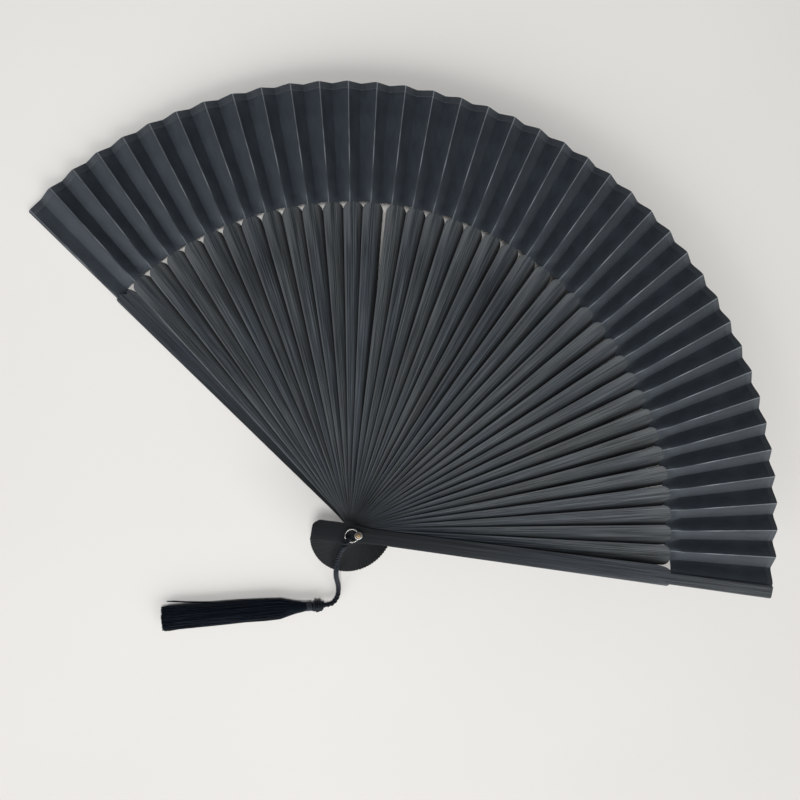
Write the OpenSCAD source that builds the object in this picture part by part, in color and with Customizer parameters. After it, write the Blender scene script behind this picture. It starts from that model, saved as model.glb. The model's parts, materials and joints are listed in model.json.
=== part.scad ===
// Black folding hand fan: 38 thin ribs between two guards, a pleated cloth leaf
// glued on their slips, a riveted pin with a split ring, and a corded tassel.
// The pin's axis is Z. The underside of the back guard is Z = 0. The middle of
// the open fan points along +Y, and the sticks rise one layer each, clockwise.

/* [Fan] */
// Radius from the pin to the outer edge of the leaf
tip_radius = 191; // [155:1:235]
// Radius from the pin to the inner edge of the leaf, where the blades end
leaf_radius = 141; // [112:1:172]
// How far the heads reach behind the pin
head_length = 19.5; // [15:0.5:25]
// Angle between the two guards when the fan is open
open_angle = 143.5; // [118:0.5:175]

/* [Ribs] */
// Number of ribs between the guards
rib_count = 38; // [30:1:40]
// Thickness of a rib's blade
rib_t = 0.55; // [0.45:0.05:0.7]
// Free play between two layers of the stack
layer_gap = 0.1; // [0.05:0.01:0.15]
// Width of a rib's blade at its shoulder
rib_w = 8.7; // [7.2:0.1:10.5]
// Width of a rib's blade next to the pin
rib_neck_w = 4.4; // [3.6:0.1:5.4]
// Radius of a rib's rounded shoulders
shoulder_r = 3.2; // [2.5:0.1:3.5]

/* [Slips] */
// Width of the slip that carries the leaf
slip_w = 3.4; // [2.8:0.1:3.8]
// Thickness of that slip
slip_t = 0.28; // [0.22:0.02:0.36]
// How far the slips lean to follow their pleats, in degrees
slip_tilt = 29; // [23:0.5:32]
// Length over which a slip twists from flat to its full lean
twist_length = 6; // [5:0.5:9]
// How far a rib's slip stops short of the leaf's outer edge
slip_inset = 2; // [1:0.5:4]

/* [Guards] */
// Thickness of a guard
guard_t = 2.6; // [2.4:0.1:3.2]
// Width of a guard's blade at its shoulder
guard_w = 8.8; // [8.4:0.1:10.6]
// Width of a guard's blade next to the pin
guard_neck_w = 6.2; // [5.4:0.1:7.4]
// Thickness of a guard's thin outer slip
guard_slip_t = 0.85; // [0.7:0.05:0.9]
// Width of a guard's slip at the shoulder
guard_slip_w = 5; // [4.2:0.1:6]
// Width of a guard's slip at its tip
guard_tip_w = 5.8; // [5:0.1:7]
// How far a guard's slip sits off its middle line, away from the leaf
guard_slip_shift = 1; // [0.8:0.05:1.2]

/* [Heads] */
// Width of every stick's head
head_w = 8.4; // [7:0.1:10]
// Radius of the head's corners
head_corner_r = 2.6; // [2:0.1:3.2]

/* [Leaf] */
// Thickness of the cloth
leaf_t = 0.12; // [0.1:0.01:0.16]
// Share of each pleat that is glued to a slip
glued_share = 0.46; // [0.42:0.01:0.5]
// Gap between the cloth and what it lies on
leaf_gap = 0.05; // [0.03:0.01:0.08]

/* [Pin and ring] */
// Radius of the pin's shank
pin_r = 0.95; // [0.8:0.05:1.15]
// Running clearance between the pin and each stick's bore
bore_clear = 0.05; // [0.03:0.01:0.08]
// Outer radius of the pin's collar
collar_r = 1.7; // [1.55:0.05:2.1]
// Height of the collar above the front guard
collar_h = 1.3; // [1.2:0.05:1.6]
// Radius of the washer let into the back guard
washer_r = 2.3; // [1.9:0.1:2.7]
// Thickness of that washer
washer_t = 0.3; // [0.25:0.05:0.4]
// Radius of the ring, to the middle of its wire
ring_r = 2.75; // [2.5:0.05:3.3]
// Radius of the ring's wire
ring_wire_r = 0.3; // [0.25:0.01:0.35]

/* [Tassel] */
// Diameter of the tassel's cord
cord_d = 2.3; // [1.9:0.1:2.7]
// Radius of the knot at the tassel's head
knot_r = 2.9; // [2.4:0.1:3.4]
// Length of the binding below the knot
binding_l = 2.2; // [1.8:0.1:2.6]
// Radius of the binding
binding_r = 2.2; // [1.8:0.1:2.6]
// Length of the skirt of threads
skirt_l = 63; // [52:1:75]
// Width of the skirt at its cut end
skirt_w = 11; // [9:0.5:13]
// Height of the skirt at its cut end
skirt_h = 5.8; // [5:0.1:6.8]

/* [Hidden] */
$fn = 48;
function rib_name(i) = str("rib_", i < 10 ? "0" : "", i);
RIBS = [for (i = [1 : rib_count]) rib_name(i)];

front = rib_count + 1;                     // the front guard's place in the stack
step = open_angle / front;                 // angle from one stick to the next
layer = rib_t + layer_gap;                 // height from one rib to the next
front_z = guard_t + layer_gap + rib_count * layer;
stack_top = front_z + guard_t;
bore_r = pin_r + bore_clear;
foot_gap = 0.05;                           // play under the washer and over the foot
foot_t = 0.35;                             // thickness of the pin's peened foot
foot_r = washer_r - 0.8;
recess_depth = foot_gap * 2 + foot_t + washer_t;
neck_u = 10;                               // where the blades start to widen
head_u = -10;                              // where the heads reach their full width
glued_half = glued_share * step / 2;
edge_inset = 0.3;                          // leaf's end edge inside the guard's slip
slip_root = 0.8;                           // how far a slip runs into its blade

// Cord route: from the ring over the stepped heads, down to the table, into the
// knot and on into the skirt. Chosen by hand.
cord_route = [
    [-3.2, -3.9, stack_top + 1.25], [-3.2, -6.6, stack_top + 0.9], [-3.0, -8.8, 28],
    [-2.4, -12.0, 25], [-1.2, -16.0, 22], [0.6, -19.6, 19.2], [2.6, -22.8, 14.5],
    [4.8, -25.4, 9.5], [7.0, -28.0, 5], [8.9, -31.0, 2.2], [9.9, -34.0, 1.5],
    [9.4, -37.0, 1.9], [7.6, -38.6, 2.6], [6, -39.5, 2.95], [-1.0, -43.54, 2.95],
    [-12.5, -50.18, 2.95]
];
tassel_at = [6, -39.5];                    // where the cord enters the knot
tassel_dir = 210;                          // which way the tassel lies
tassel_z = knot_r + 0.05;

function azimuth(i) = 90 + open_angle / 2 - i * step;
function rib_z(i) = guard_t + layer_gap + (i - 1) * layer;
function smooth(t) = let (c = min(1, max(0, t))) c * c * (3 - 2 * c);
function tilt_at(r) = slip_tilt * smooth((r - leaf_radius) / twist_length);
function arc(cx, cy, r, a0, a1, n = 8) =
    [for (k = [0 : n]) let (a = a0 + (a1 - a0) * k / n) [cx + r * cos(a), cy + r * sin(a)]];
function mirrored(pts) = [for (k = [len(pts) - 1 : -1 : 0]) [pts[k][0], -pts[k][1]]];

// One long edge of a head, from the blade's neck round to the middle of its end.
function head_side(neck_w) =
    let (
        corner_v = head_w / 2 - head_corner_r,
        corner_d = head_length - head_corner_r,
        corner_a = 180 - asin(corner_v / corner_d)
    )
    concat(
        [for (k = [0 : 8]) let (t = k / 8)
            [neck_u + (head_u - neck_u) * t,
             neck_w / 2 + (head_w - neck_w) / 2 * (1 - cos(180 * t)) / 2]],
        arc(corner_d * cos(corner_a), corner_v, head_corner_r, 90, corner_a, 6),
        arc(0, 0, head_length, corner_a + 1, 179, 2)
    );

module stick_frame(i) { rotate(azimuth(i)) children(); }

module bore(z, h) { translate([0, 0, z - 1]) cylinder(r = bore_r, h = h + 2); }

// The flat blade of a rib with its head, rounded shoulders and bore.
module rib_blade() {
    side = concat(
        arc(leaf_radius - shoulder_r, rib_w / 2 - shoulder_r, shoulder_r, 0, 90),
        head_side(rib_neck_w));
    linear_extrude(rib_t) polygon(concat(side, mirrored(side)));
}

// A slip: a thin strip that starts flat inside the blade and leans to its pleat.
function slip_section(r, tilt) =
    [for (c = [[-1, -1], [1, -1], [1, 1], [-1, 1]])
        let (v = c[0] * slip_w / 2, w = c[1] * slip_t / 2)
        [r, v * cos(tilt) - w * sin(tilt), v * sin(tilt) + w * cos(tilt)]];

module slip() {
    twist_steps = 6;
    radii = concat([leaf_radius - slip_root],
        [for (k = [0 : twist_steps]) leaf_radius + twist_length * k / twist_steps],
        [tip_radius - slip_inset]);
    last = len(radii) - 1;
    points = [for (r = radii) each slip_section(r, tilt_at(r))];
    polyhedron(points, concat(
        [[0, 1, 2, 3], [for (k = [3 : -1 : 0]) last * 4 + k]],
        [for (s = [0 : last - 1]) for (k = [0 : 3]) let (n = (k + 1) % 4)
            each [[s * 4 + k, s * 4 + 4 + k, s * 4 + n], [s * 4 + n, s * 4 + 4 + k, s * 4 + 4 + n]]]));
}

module rib(i) {
    color([0.17, 0.18, 0.2])
    stick_frame(i) translate([0, 0, rib_z(i)]) {
        difference() {
            rib_blade();
            bore(0, rib_t);
        }
        translate([0, 0, rib_t / 2]) slip();
    }
}

// A guard seen from outside, leaf on its +Y side: full blade, then a thin slip.
module guard_blade_outline() {
    slip_hi = guard_slip_w / 2 - guard_slip_shift;
    slip_lo = guard_slip_w / 2 + guard_slip_shift;
    top_r = guard_w / 2 - slip_hi;
    low_r = guard_w / 2 - slip_lo;
    polygon(concat(
        arc(leaf_radius - top_r, slip_hi, top_r, 0, 90),
        head_side(guard_neck_w),
        mirrored(head_side(guard_neck_w)),
        arc(leaf_radius - low_r, -slip_lo, low_r, -90, 0, 4)));
}

module guard_slip_outline() {
    tip_r = 0.8;
    hull() {
        translate([leaf_radius - 3, -guard_slip_shift - guard_slip_w / 2])
            square([1, guard_slip_w]);
        for (s = [-1, 1])
            translate([tip_radius - tip_r, -guard_slip_shift + s * (guard_tip_w / 2 - tip_r)])
                circle(r = tip_r, $fn = 24);
    }
}

module guard() {
    difference() {
        union() {
            linear_extrude(guard_t) guard_blade_outline();
            linear_extrude(guard_slip_t) guard_slip_outline();
        }
        bore(0, guard_t);
    }
}

module back_guard() {
    color([0.15, 0.16, 0.18])
    stick_frame(0) difference() {
        mirror([0, 1, 0]) guard();
        translate([0, 0, -1]) cylinder(r = washer_r + bore_clear, h = recess_depth + 1);
    }
}

module front_guard() {
    color([0.15, 0.16, 0.18])
    stick_frame(front) translate([0, 0, stack_top]) mirror([0, 0, 1]) guard();
}

// The leaf's folds. Each stick carries one glued panel between two folds.
function leaf_z(i, r, side) =
    i == 0 ? guard_slip_t + leaf_gap
    : i == front ? stack_top - guard_slip_t - leaf_gap - leaf_t
    : rib_z(i) + rib_t / 2 + (slip_t / 2 + leaf_gap) / cos(tilt_at(r))
        + side * r * sin(glued_half) * tan(tilt_at(r));
function leaf_v(i, r, side) =
    let (edge = guard_slip_shift + guard_slip_w / 2 - edge_inset)
    i == 0 && side > 0 ? edge
    : i == front && side < 0 ? -edge
    : side * r * sin(glued_half);
function fold_point(i, r, side, up) =
    let (a = azimuth(i), v = leaf_v(i, r, side), u = sqrt(r * r - v * v))
    [u * cos(a) - v * sin(a), u * sin(a) + v * cos(a), leaf_z(i, r, side) + up];

module leaf() {
    start = leaf_radius + 0.3;
    twist_steps = 4;
    radii = concat([for (k = [0 : twist_steps]) start + (twist_length - 0.3) * k / twist_steps],
        [tip_radius]);
    folds = [for (i = [0 : front]) each [[i, 1], [i, -1]]];
    rows = len(folds);
    columns = len(radii);
    layer_size = rows * columns;
    points = [for (up = [0, leaf_t]) for (f = folds) for (r = radii)
        fold_point(f[0], r, f[1], up)];
    rim = concat(
        [for (s = [0 : columns - 1]) s],
        [for (f = [1 : rows - 1]) f * columns + columns - 1],
        [for (s = [columns - 2 : -1 : 0]) (rows - 1) * columns + s],
        [for (f = [rows - 2 : -1 : 1]) f * columns]);
    color([0.11, 0.12, 0.16])
    polyhedron(points, concat(
        [for (f = [0 : rows - 2]) for (s = [0 : columns - 2]) let (p = f * columns + s)
            each [[p, p + 1, p + columns], [p + 1, p + columns + 1, p + columns],
                [p + layer_size, p + columns + layer_size, p + 1 + layer_size],
                [p + 1 + layer_size, p + columns + layer_size, p + columns + 1 + layer_size]]],
        [for (k = [0 : len(rim) - 1]) let (a = rim[k], b = rim[(k + 1) % len(rim)])
            each [[a, a + layer_size, b], [b, a + layer_size, b + layer_size]]]));
}

// Ring seated in the collar's cross channel, leaning down towards the front guard.
ring_rise = 0.75;                          // ring's middle over the guard, in the channel
ring_clear = 0.1;                          // play under the ring's far side
ring_lean = asin((ring_rise - ring_wire_r - ring_clear) / (2 * ring_r));
ring_dir = 208;
ring_z = stack_top + ring_rise;
module ring_shape(wire_r) {
    translate([0, 0, ring_z]) rotate(ring_dir) rotate([0, ring_lean, 0])
        translate([ring_r, 0, 0]) rotate_extrude() translate([ring_r, 0]) circle(r = wire_r, $fn = 24);
}
channel_r = ring_wire_r + 0.08;

module pin() {
    color([0.72, 0.6, 0.42])
    difference() {
        union() {
            translate([0, 0, foot_gap]) cylinder(r = foot_r, h = foot_t);
            translate([0, 0, foot_gap]) cylinder(r = pin_r, h = stack_top + collar_h - foot_gap);
        }
        ring_shape(channel_r);
    }
}

module pin_collar() {
    color([0.8, 0.8, 0.8])
    difference() {
        translate([0, 0, stack_top + foot_gap]) cylinder(r = collar_r, h = collar_h - foot_gap);
        translate([0, 0, stack_top]) cylinder(r = pin_r + 0.02, h = collar_h + 1);
        ring_shape(channel_r);
    }
}

module foot_washer() {
    color([0.8, 0.8, 0.8])
    difference() {
        translate([0, 0, foot_gap + foot_t + 0.02]) cylinder(r = washer_r, h = washer_t);
        cylinder(r = pin_r + 0.02, h = guard_t);
    }
}

module ring() { color([0.82, 0.82, 0.8]) ring_shape(ring_wire_r); }

// A round tube swept along a route: the section at each point faces the mean of
// the two stretches that meet there.
function unit(v) = v / norm(v);
function heading(p, k) = unit(p[min(k + 1, len(p) - 1)] - p[max(k - 1, 0)]);
module tube(p, r, sides = 8) {
    last = len(p) - 1;
    points = [for (k = [0 : last]) let (
            d = heading(p, k),
            e = unit(cross([0.1, 1, 0.2], d)),
            g = cross(d, e))
        each [for (s = [0 : sides - 1]) p[k] + r * (cos(360 * s / sides) * e + sin(360 * s / sides) * g)]];
    polyhedron(points, concat(
        [[for (s = [0 : sides - 1]) s], [for (s = [sides - 1 : -1 : 0]) last * sides + s]],
        [for (k = [0 : last - 1]) for (s = [0 : sides - 1]) let (n = (s + 1) % sides)
            each [[k * sides + s, (k + 1) * sides + s, k * sides + n],
                [k * sides + n, (k + 1) * sides + s, (k + 1) * sides + n]]]));
}

module cord() { color([0.08, 0.08, 0.1]) tube(cord_route, cord_d / 2); }

module tassel_frame(along) {
    translate([tassel_at[0], tassel_at[1], tassel_z]) rotate(tassel_dir)
        translate([along, 0, 0]) rotate([0, 90, 0]) children();
}

module knot_head() { color([0.08, 0.08, 0.1]) tassel_frame(knot_r) sphere(r = knot_r); }

module neck_binding() {
    color([0.08, 0.08, 0.1]) tassel_frame(2 * knot_r) cylinder(r = binding_r, h = binding_l);
}

module skirt() {
    color([0.07, 0.08, 0.1])
    tassel_frame(2 * knot_r + binding_l) hull() {
        cylinder(r = binding_r * 0.9, h = 1, $fn = 24);
        translate([tassel_z - 0.05 - skirt_h / 2, 0, skirt_l * 0.3])
            scale([skirt_h / skirt_w, 0.86, 1]) cylinder(d = skirt_w, h = 1, $fn = 24);
        translate([tassel_z - 0.05 - skirt_h / 2, 0, skirt_l - 1])
            scale([skirt_h / skirt_w, 1, 1]) cylinder(d = skirt_w, h = 1, $fn = 24);
    }
}

for (i = [1 : rib_count]) rib(i);
front_guard();
back_guard();
leaf();
pin();
pin_collar();
foot_washer();
ring();
cord();
knot_head();
neck_binding();
skirt();
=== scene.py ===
import json
import math
import random
import bpy
from mathutils import Euler, Matrix, Vector, noise


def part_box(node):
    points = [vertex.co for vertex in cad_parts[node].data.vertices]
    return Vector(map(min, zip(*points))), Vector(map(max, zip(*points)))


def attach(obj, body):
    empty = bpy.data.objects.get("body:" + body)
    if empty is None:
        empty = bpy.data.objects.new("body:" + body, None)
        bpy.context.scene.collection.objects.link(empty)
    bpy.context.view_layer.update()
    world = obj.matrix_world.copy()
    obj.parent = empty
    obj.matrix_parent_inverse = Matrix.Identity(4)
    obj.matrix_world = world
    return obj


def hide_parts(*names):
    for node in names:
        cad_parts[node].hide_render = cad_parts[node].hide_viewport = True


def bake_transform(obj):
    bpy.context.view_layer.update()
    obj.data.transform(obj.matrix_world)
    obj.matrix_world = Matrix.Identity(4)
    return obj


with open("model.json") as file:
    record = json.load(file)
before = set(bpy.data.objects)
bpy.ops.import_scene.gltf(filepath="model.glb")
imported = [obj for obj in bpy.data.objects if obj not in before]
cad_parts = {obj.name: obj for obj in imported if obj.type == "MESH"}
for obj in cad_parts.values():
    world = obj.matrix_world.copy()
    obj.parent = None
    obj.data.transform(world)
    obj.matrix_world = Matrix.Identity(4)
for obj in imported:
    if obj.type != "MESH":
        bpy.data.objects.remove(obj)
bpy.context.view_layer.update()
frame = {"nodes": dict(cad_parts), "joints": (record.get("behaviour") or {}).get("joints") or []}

mm = 0.001
rng = random.Random(38)
ribNames = sorted(n for n in frame["nodes"] if n.startswith("rib_"))
ribCount = len(ribNames)
front = ribCount + 1  # the front guard's place in the stack, 0 is the back guard
foldJoint = next(j for j in frame["joints"] if j["name"].startswith("fold"))
stepAngle = math.radians(foldJoint["range_deg"][1])

view = {
    "place": (-0.0628, 0.0542, 0.3584),
    "turn": (-3.61, -8.29, 27.81),  # degrees
    "focal": 36.0,
    "sensor": 36.0,
}


def addCamera():
    data = bpy.data.cameras.new("camera")
    data.lens = view["focal"]
    data.sensor_width = view["sensor"]
    data.clip_start = 0.01
    camera = bpy.data.objects.new("camera", data)
    bpy.context.scene.collection.objects.link(camera)
    camera.location = view["place"]
    camera.rotation_euler = [math.radians(a) for a in view["turn"]]
    bpy.context.scene.camera = camera


addCamera()
print("camera set")

# Sizes that several pieces share. A stick's own frame has the pin at its origin,
# x along the stick, y anticlockwise and z up.
stack = {
    "tip": 191 * mm,        # pin to the leaf's outer edge
    "leaf": 141 * mm,       # pin to the leaf's inner edge
    "headEnd": 19.4 * mm,   # heads behind the pin
    "headWidth": 8.4 * mm,
    "cornerRadius": 3.2 * mm,
    "flareStart": -10 * mm,
    "flareEnd": 10 * mm,
    "bore": 1.0 * mm,
    "tilt": math.radians(29),       # lean of the slips and of the glued panels
    "shoulderTilt": math.radians(8),  # lean of the blades at their shoulders
    "twist": 6 * mm,                # length over which the lean grows
    "leanFrom": 12 * mm,            # the blades start to lean here
    "leanOver": 50 * mm,
    "flatRibs": 6,                  # ribs next to each guard over which the lean fades
    "top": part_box("front_guard")[1].z,
    "layer": 0.65 * mm,
    "firstMiddle": 2.975 * mm,
}


def azimuthOf(i):
    return math.pi / 2 + (front / 2 - i) * stepAngle


def middleOf(i):
    return stack["firstMiddle"] + (i - 1) * stack["layer"]


def smooth(t):
    t = min(1.0, max(0.0, t))
    return t * t * (3 - 2 * t)


def fadeOf(i):
    return smooth(min(i, front - i) / stack["flatRibs"])


# How far stick i leans at r, its anticlockwise edge up.
def leanAt(i, r, extra=0.0):
    along = smooth((r - stack["leanFrom"]) / stack["leanOver"])
    blade = (stack["shoulderTilt"] + extra) * fadeOf(i) * along
    grow = smooth((r - stack["leaf"]) / stack["twist"])
    return blade + (stack["tilt"] - blade) * grow


def deselect():
    if bpy.context.object and bpy.context.object.mode != "OBJECT":
        bpy.ops.object.mode_set(mode="OBJECT")
    bpy.ops.object.select_all(action="DESELECT")


def makeActive(piece):
    deselect()
    piece.select_set(True)
    bpy.context.view_layer.objects.active = piece


def applyModifier(piece, kind, **settings):
    makeActive(piece)
    modifier = piece.modifiers.new(kind.lower(), kind)
    for key, value in settings.items():
        setattr(modifier, key, value)
    bpy.ops.object.modifier_apply(modifier=modifier.name)


def shadeByAngle(piece, degrees=35):
    makeActive(piece)
    bpy.ops.object.shade_smooth_by_angle(angle=math.radians(degrees))


def addPiece(piece, body, slot, *nodes):
    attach(piece, body)
    if nodes:
        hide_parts(*nodes)


# A grid primitive whose rows go to the stations and whose columns go to the shares,
# from 0 on the clockwise side to 1 on the other. place gives a point and its UV.
def shapedGrid(name, stations, shares, place):
    deselect()
    rows, columns = len(stations) - 1, len(shares) - 1
    bpy.ops.mesh.primitive_grid_add(x_subdivisions=rows, y_subdivisions=columns, size=2, calc_uvs=True)
    piece = bpy.context.object
    piece.name = piece.data.name = name
    mesh = piece.data
    spots = []
    for vertex in mesh.vertices:
        row = round((vertex.co.x + 1) / 2 * rows)
        column = round((vertex.co.y + 1) / 2 * columns)
        point, uv = place(stations[row], shares[column])
        vertex.co = point
        spots.append(uv)
    layer = mesh.uv_layers.active
    for loop in mesh.loops:
        layer.data[loop.index].uv = spots[loop.vertex_index]
    mesh.update()
    return piece


def thickGroup(piece, weightOf):
    group = piece.vertex_groups.new(name="thickness")
    for vertex in piece.data.vertices:
        group.add([vertex.index], weightOf(vertex.co), "REPLACE")


# Tubes swept along lists of points, turned into one mesh.
def sweep(name, paths, radius, roundness=2):
    deselect()
    curve = bpy.data.curves.new(name, "CURVE")
    curve.dimensions = "3D"
    curve.bevel_depth = radius
    curve.bevel_resolution = roundness
    curve.use_fill_caps = True
    for path in paths:
        spline = curve.splines.new("POLY")
        spline.points.add(len(path) - 1)
        for k, point in enumerate(path):
            spline.points[k].co = (*point, 1)
    piece = bpy.data.objects.new(name, curve)
    bpy.context.scene.collection.objects.link(piece)
    makeActive(piece)
    bpy.ops.object.convert(target="MESH")
    piece = bpy.context.object
    bpy.ops.object.shade_smooth()
    return piece


def joinTo(piece, *others):
    makeActive(piece)
    for other in others:
        other.select_set(True)
    bpy.ops.object.join()
    return piece


# A Catmull-Rom curve through the points, with evenly spaced parameters.
def throughPoints(points, perSpan):
    points = [Vector(p) for p in points]
    path = []
    for k in range(len(points) - 1):
        a, b = points[max(k - 1, 0)], points[k]
        c, d = points[k + 1], points[min(k + 2, len(points) - 1)]
        for n in range(perSpan):
            t = n / perSpan
            path.append(0.5 * (2 * b + (c - a) * t + (2 * a - 5 * b + 4 * c - d) * t * t
                               + (3 * b - a - 3 * c + d) * t ** 3))
    return path + [points[-1]]


# Frames that slide along a path without spinning: (point, side, other side, distance).
def framesAlong(path):
    side = Vector((1, 0, 0))
    frames, distance = [], 0.0
    for k, point in enumerate(path):
        along = (path[min(k + 1, len(path) - 1)] - path[max(k - 1, 0)]).normalized()
        side = (side - along * side.dot(along)).normalized()
        distance += (point - path[k - 1]).length if k else 0.0
        frames.append((point, side, along.cross(side), distance))
    return frames


def newMaterial(name, **shader):
    material = bpy.data.materials.new(name)
    material.use_nodes = True
    sockets = material.node_tree.nodes["Principled BSDF"].inputs
    for key, value in shader.items():
        sockets[key.replace("_", " ")].default_value = value
    return material


# Adds a node; an input that is another node's socket is linked, any other is set.
def addNode(material, kind, inputs=None, **settings):
    tree = material.node_tree
    node = tree.nodes.new("ShaderNode" + kind)
    for key, value in settings.items():
        setattr(node, key, value)
    for key, value in (inputs or {}).items():
        if isinstance(value, bpy.types.NodeSocket):
            tree.links.new(value, node.inputs[key])
        else:
            node.inputs[key].default_value = value
    return node


def toShader(material, socket, value):
    material.node_tree.links.new(value, material.node_tree.nodes["Principled BSDF"].inputs[socket])


def scaled(material, vector, scale):
    return addNode(material, "Mapping", {"Vector": vector, "Scale": scale}).outputs["Vector"]


def noiseOf(material, vector, scale, detail=4.0, rough=0.55):
    inputs = {"Vector": vector, "Scale": scale, "Detail": detail, "Roughness": rough}
    return addNode(material, "TexNoise", inputs).outputs["Fac"]


def ramp(material, factor, dark, light, low=0.3, high=0.7):
    node = addNode(material, "ValToRGB", {"Fac": factor})
    node.color_ramp.elements[0].position = low
    node.color_ramp.elements[0].color = (*dark, 1)
    node.color_ramp.elements[1].position = high
    node.color_ramp.elements[1].color = (*light, 1)
    return node.outputs["Color"]


def mixColour(material, factor, first, second, blend="MIX"):
    inputs = {"Fac": factor, "Color1": first, "Color2": second}
    node = addNode(material, "MixRGB", inputs, blend_type=blend)
    return node.outputs["Color"]


def rangeOf(material, value, fromLow, fromHigh, toLow, toHigh):
    inputs = {"Value": value, "From Min": fromLow, "From Max": fromHigh,
              "To Min": toLow, "To Max": toHigh}
    return addNode(material, "MapRange", inputs).outputs["Result"]


def bumpTo(material, height, distance, strength=1.0, under=None):
    inputs = {"Height": height, "Distance": distance, "Strength": strength}
    if under:
        inputs["Normal"] = under
    node = addNode(material, "Bump", inputs)
    toShader(material, "Normal", node.outputs["Normal"])
    return node.outputs["Normal"]


# Stained bamboo: fibres run along the stick, each stick has its own tone, the long
# edges get a painted highlight, and painted shade darkens a rib where it lies under
# the next one, and the heads.
def woodMaterial(name, look):
    material = newMaterial(name, Roughness=look["roughness"], Specular_IOR_Level=look["gloss"],
                           Specular_Tint=(*look["tint"], 1))
    uv = addNode(material, "UVMap").outputs["UV"]
    fibres = noiseOf(material, scaled(material, uv, (30, 2900, 1)), 1, 3, 0.6)
    bands = noiseOf(material, scaled(material, uv, (9, 700, 1)), 1, 3, 0.5)
    tones = noiseOf(material, scaled(material, uv, (0.9, 0.9, 1)), 1, 1, 0.5)
    hues = noiseOf(material, scaled(material, uv, (14, 2.3, 1)), 1, 2, 0.5)
    colour = ramp(material, fibres, look["dark"], look["light"], 0.42, 0.68)
    streak = ramp(material, bands, (0.84, 0.84, 0.84), (1.16, 1.16, 1.16), 0.4, 0.6)
    hue = ramp(material, hues, (0.93, 0.98, 1.06), (1.02, 1.02, 0.97), 0.4, 0.6)
    colour = mixColour(material, 1, colour, hue, "MULTIPLY")
    colour = mixColour(material, 1, colour, streak, "MULTIPLY")
    tone = ramp(material, tones, (0.82, 0.82, 0.82), (1.2, 1.2, 1.2), 0.35, 0.65)
    colour = mixColour(material, 1, colour, tone, "MULTIPLY")
    # painted highlight: the long edges are made paler
    edge = addNode(material, "Attribute", attribute_name="edge").outputs["Fac"]
    edgeHighlight = rangeOf(material, edge, 0.0, 1.0, 0.0, look["edgeHighlightShare"])
    colour = mixColour(material, edgeHighlight, colour, (*look["edgeHighlight"], 1))
    # painted shade: darker where a rib lies under the next one, and over the heads
    under = addNode(material, "Attribute", attribute_name="under").outputs["Fac"]
    paintedShade = rangeOf(material, under, 0.0, 1.0, 1.0, 0.06)
    colour = mixColour(material, 1, colour, paintedShade, "MULTIPLY")
    toShader(material, "Base Color", colour)
    grainy = rangeOf(material, fibres, 0.3, 0.7, look["roughness"] - 0.08, look["roughness"] + 0.12)
    dull = rangeOf(material, under, 0.0, 1.0, 0.0, 0.5)   # the painted shade is also made matt
    matt = addNode(material, "Math", {0: grainy, 1: dull}, operation="ADD").outputs["Value"]
    toShader(material, "Roughness", matt)
    relief = addNode(material, "Math", {0: fibres, 1: bands}, operation="ADD").outputs["Value"]
    bumpTo(material, relief, 0.0002, look["relief"])
    return material


# Cord first: two twisted strands from the split ring down over the heads to the
# knot and through it into the skirt. The points are the route of the CAD model.
cord = {
    "diameter": 2.3 * mm,
    "length": 75 * mm,
    "strand": 0.7 * mm,
    "offset": 0.48 * mm,     # strand's middle from the cord's
    "pitch": 3.6 * mm,
    "perSpan": 12,           # path points from one route point to the next
    "route": [
        (-3.2, -3.9, 31.25), (-3.2, -6.6, 30.9), (-3.0, -8.8, 28), (-2.4, -12.0, 25),
        (-1.2, -16.0, 22), (0.6, -19.6, 19.2), (2.6, -22.8, 14.5), (4.8, -25.4, 9.5),
        (7.0, -28.0, 5), (8.9, -31.0, 2.2), (9.9, -34.0, 1.5), (9.4, -37.0, 1.9),
        (7.6, -38.6, 2.6), (6, -39.5, 2.95), (-1.0, -43.54, 2.95), (-12.5, -50.18, 2.95),
    ],
}


def silkMaterial(name, dark, light, roughness=0.45):
    material = newMaterial(name, Roughness=roughness, Sheen_Weight=0.04, Sheen_Tint=(0.6, 0.75, 1, 1),
                           Specular_IOR_Level=0.22, Specular_Tint=(0.5, 0.72, 1, 1))
    spot = addNode(material, "TexCoord").outputs["Object"]
    yarn = noiseOf(material, spot, 2600, 2, 0.5)
    toShader(material, "Base Color", ramp(material, yarn, dark, light, 0.35, 0.7))
    rough = rangeOf(material, yarn, 0.3, 0.7, roughness - 0.08, roughness + 0.15)
    toShader(material, "Roughness", rough)
    bumpTo(material, yarn, 0.0001, 0.6)
    return material


def makeCord(silk):
    route = [Vector(p) * mm for p in cord["route"]]
    path = throughPoints(route, cord["perSpan"])
    frames = framesAlong(path)
    strands = []
    for start in (0.0, math.pi):
        strand = []
        for point, side, other, distance in frames:
            turn = start + math.tau * distance / cord["pitch"]
            strand.append(point + cord["offset"] * (math.cos(turn) * side + math.sin(turn) * other))
        strands.append(strand)
    # the bight that hangs in the ring joins the two strands' upper ends
    first, last = strands[0][0], strands[1][0]
    middle = (first + last) / 2 + Vector((0.45, 1.5, -0.25)) * mm
    spread = Vector((0, 0.35, 0.1)) * mm
    bight = throughPoints([first, (first * 2 + middle * 3) / 5 + spread, middle,
                           (last * 2 + middle * 3) / 5 + spread, last], 5)
    whole = list(reversed(strands[0])) + bight[1:-1] + strands[1]
    piece = sweep("tasselCord", [whole], cord["strand"], 3)
    piece.data.materials.append(silk)
    addPiece(piece, "tassel", "cord", "cord")
    return piece, path


cordSilk = silkMaterial("cordSilk", (0.003, 0.0032, 0.004), (0.014, 0.014, 0.016), 0.42)
cordPiece, cordPath = makeCord(cordSilk)
print("cord laid")

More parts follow.
